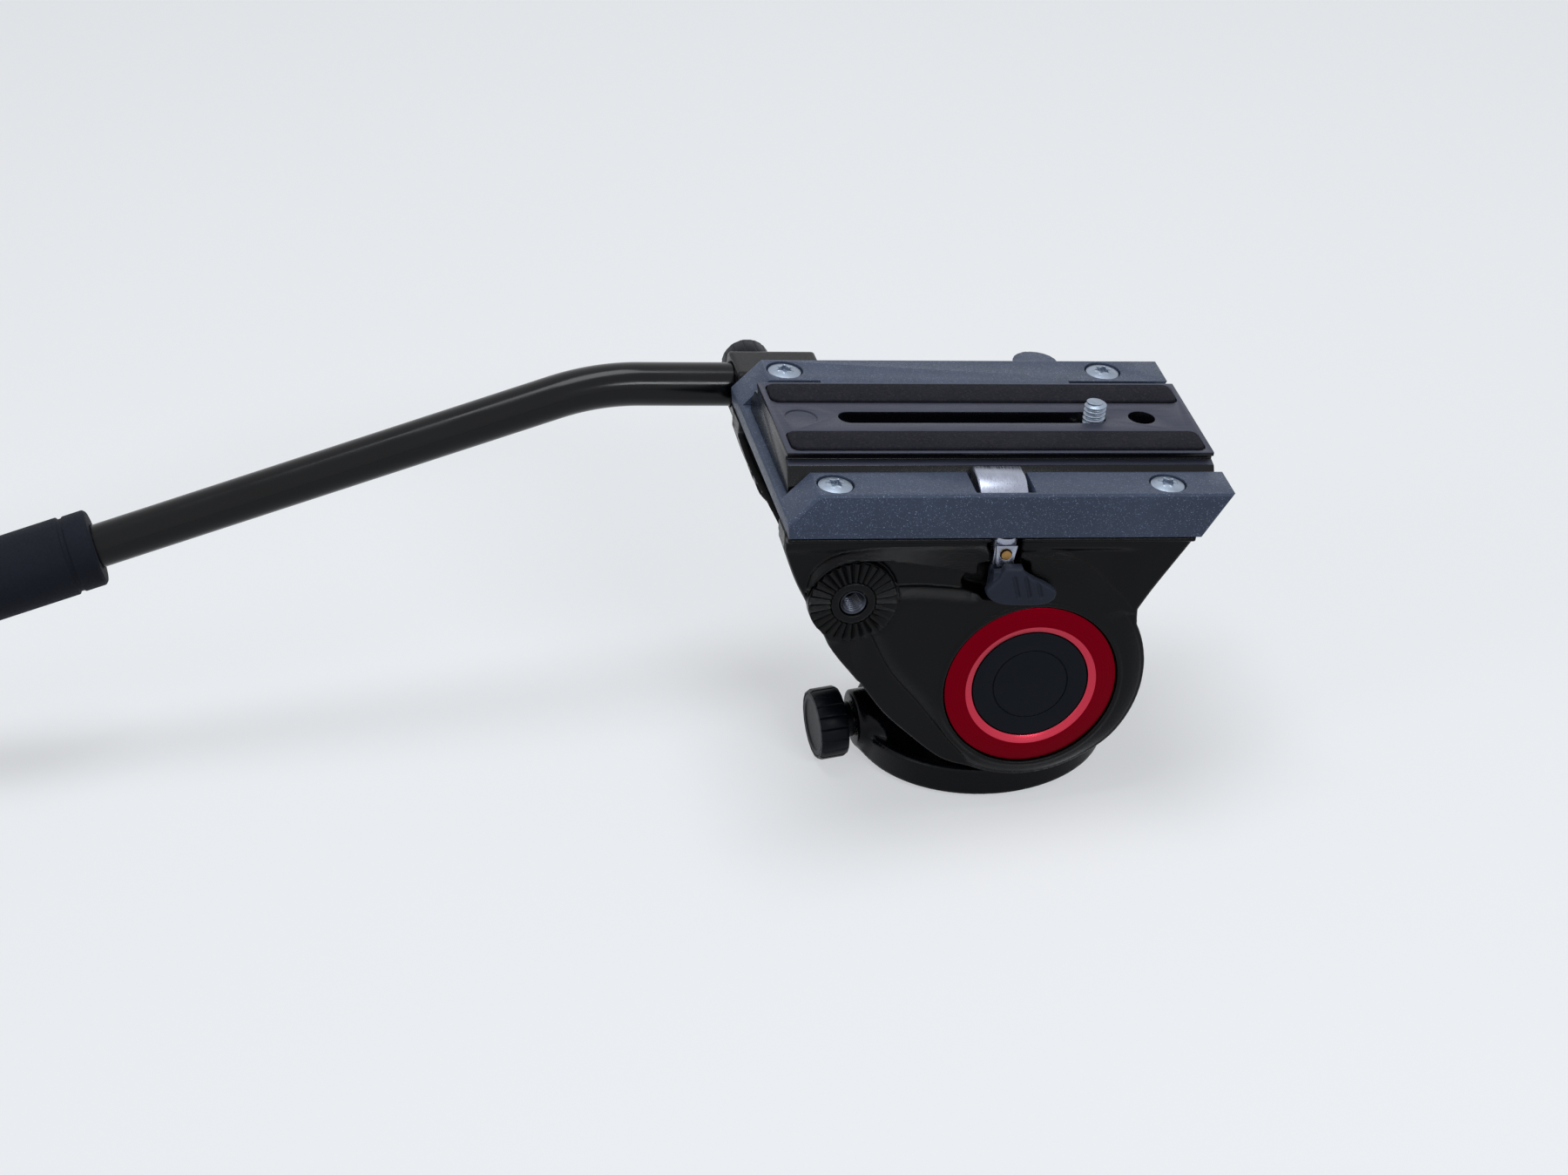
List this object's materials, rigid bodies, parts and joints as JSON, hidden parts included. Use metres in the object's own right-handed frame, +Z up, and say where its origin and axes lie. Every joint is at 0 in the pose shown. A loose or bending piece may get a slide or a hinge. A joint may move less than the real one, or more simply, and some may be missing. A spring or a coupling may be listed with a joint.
{
  "type": "fluid video head",
  "caption": "Pan and tilt head for a small video camera: flat base, two cheeks on a tilt axle, sliding camera plate, bent pan bar with rubber grip.",
  "frame": {"origin": "on the pan axis, at the flat blind end of the tripod socket", "axes": "+Z up along the pan axis, +X towards the front of the camera plate, pan bar towards -X, +Y away from the side with the red ring"},
  "size_m": [0.4197, 0.1128, 0.1099],
  "materials": {
    "black_casting": "satin textured black coat on cast aluminium",
    "blue_grey_paint": "blue-grey sparkle paint on cast aluminium",
    "plate_grey": "grey coat on extruded aluminium",
    "red_anodised": "red anodised with a bright bevel",
    "black_plastic": "fine grain",
    "strip_rubber": "matt",
    "grip_rubber": "matt, finely knurled",
    "gloss_black": "gloss black coat",
    "bright_steel": "bright zinc or nickel",
    "plain_steel": "machined",
    "brass": "turned",
    "white_nylon": "smooth"
  },
  "bodies": {
    "base": {"base_disc": "plain_steel", "tripod_socket_bush": "bright_steel", "pan_spindle": "plain_steel", "base_screw_1": "bright_steel", "base_screw_2": "bright_steel", "base_screw_3": "bright_steel"},
    "pan_housing": {"pan_body": "black_casting", "pan_retaining_ring": "plain_steel", "pan_thrust_washer": "white_nylon", "retainer_screw_1": "bright_steel", "retainer_screw_2": "bright_steel", "retainer_screw_3": "bright_steel", "pan_lock_shoe": "brass", "tilt_axle": "plain_steel", "counterbalance_spring": "plain_steel", "tilt_drag_rotor": "plain_steel", "tilt_brake_disc": "plain_steel", "near_axle_nut": "bright_steel", "far_axle_nut": "bright_steel"},
    "pan_lock": {"pan_lock_knob": "black_plastic", "pan_lock_screw": "bright_steel"},
    "tilt_head": {"near_cheek": "black_casting", "far_cheek": "black_casting", "near_tilt_bush": "brass", "far_tilt_bush": "brass", "near_rosette_insert": "bright_steel", "far_rosette_insert": "bright_steel", "tilt_drag_cup": "plain_steel", "red_ring": "red_anodised", "cartridge_cap": "black_plastic", "tilt_brake_pad": "strip_rubber", "brake_pressure_plate": "plain_steel", "far_hub_cover": "black_casting", "carrier": "blue_grey_paint", "carrier_screw_near_1": "bright_steel", "carrier_screw_far_1": "bright_steel", "carrier_screw_near_2": "bright_steel", "carrier_screw_far_2": "bright_steel", "plate_stop_spring": "plain_steel"},
    "tilt_lock": {"tilt_lock_lever": "black_plastic", "tilt_lock_screw": "bright_steel"},
    "clamp": {"clamp_shaft": "bright_steel", "clamp_tongue": "bright_steel", "clamp_rivet": "brass", "clamp_lever": "black_plastic"},
    "jaw": {"clamp_jaw": "bright_steel"},
    "sliding_plate": {"camera_plate": "plate_grey", "plate_strip_1": "strip_rubber", "plate_strip_2": "strip_rubber"},
    "screw_clip": {"camera_screw_clip": "plain_steel"},
    "camera_thread": {"camera_screw": "bright_steel"},
    "plate_stop": {"plate_stop_pin": "bright_steel", "plate_stop_button": "black_plastic"},
    "bar_arm": {"bar_bracket": "black_casting"},
    "bar": {"bar_tube": "gloss_black", "bar_grip": "grip_rubber"},
    "arm_knob": {"rosette_knob": "black_plastic", "rosette_screw": "bright_steel"},
    "bar_knob": {"bar_clamp_knob": "black_plastic", "bar_clamp_screw": "bright_steel"}
  },
  "joints": [
    {"name": "pan", "type": "hinge", "parent": "base", "child": "pan_housing", "pos_m": [0, 0, 0], "axis": [0, 0, 1], "continuous": true},
    {"name": "pan_lock_turn", "type": "hinge", "parent": "pan_housing", "child": "pan_lock", "pos_m": [0, 0, 0.0007], "axis": [-0.9971, -0.0767, 0], "range_deg": [-90, 270]},
    {"name": "tilt", "type": "hinge", "parent": "pan_housing", "child": "tilt_head", "pos_m": [0.0053, 0, 0.0276], "axis": [0, 1, 0], "range_deg": [-67.25, 82.75]},
    {"name": "tilt_lock_turn", "type": "hinge", "parent": "tilt_head", "child": "tilt_lock", "pos_m": [0.0053, 0, 0.0276], "axis": [0, 1, 0], "range_deg": [-20, 60]},
    {"name": "clamp_turn", "type": "hinge", "parent": "tilt_head", "child": "clamp", "pos_m": [-0.00185, -0.0365, 0.07286], "axis": [-0.1262, 0, -0.992], "range_deg": [0, 45]},
    {"name": "jaw_slide", "type": "slide", "parent": "tilt_head", "child": "jaw", "axis": [0, -1, 0], "range_m": [0, 0.00105]},
    {"name": "plate_slide", "type": "slide", "parent": "tilt_head", "child": "sliding_plate", "axis": [0.992, 0, -0.1262], "range_m": [-0.022, 0.028]},
    {"name": "screw_slide", "type": "slide", "parent": "sliding_plate", "child": "screw_clip", "axis": [0.992, 0, -0.1262], "range_m": [-0.0693, 0]},
    {"name": "screw_turn", "type": "hinge", "parent": "screw_clip", "child": "camera_thread", "pos_m": [0.03246, 0, 0.08463], "axis": [0.1262, 0, 0.992], "continuous": true},
    {"name": "stop_pull", "type": "slide", "parent": "tilt_head", "child": "plate_stop", "axis": [0, 1, 0], "range_m": [0, 0.002], "stiffness_N_per_m": 400, "springref_m": -0.002},
    {"name": "arm_turn", "type": "hinge", "parent": "tilt_head", "child": "bar_arm", "pos_m": [-0.04422, 0, 0.06071], "axis": [0, 1, 0], "range_deg": [-60, 60]},
    {"name": "bar_turn", "type": "hinge", "parent": "bar_arm", "child": "bar", "pos_m": [-0.0483, 0.0503, 0.0817], "axis": [0.992, 0, -0.1262], "range_deg": [-90, 90]},
    {"name": "arm_knob_turn", "type": "hinge", "parent": "bar_arm", "child": "arm_knob", "pos_m": [-0.04422, 0, 0.06071], "axis": [0, 1, 0], "range_deg": [-90, 270]},
    {"name": "bar_knob_turn", "type": "hinge", "parent": "bar_arm", "child": "bar_knob", "pos_m": [-0.05226, 0.066, 0.08069], "axis": [0, 1, 0], "range_deg": [-90, 270]}
  ],
  "couplings": [
    {"joint": "clamp_turn", "follows": "jaw_slide", "rad_per_m": 740.74}
  ]
}
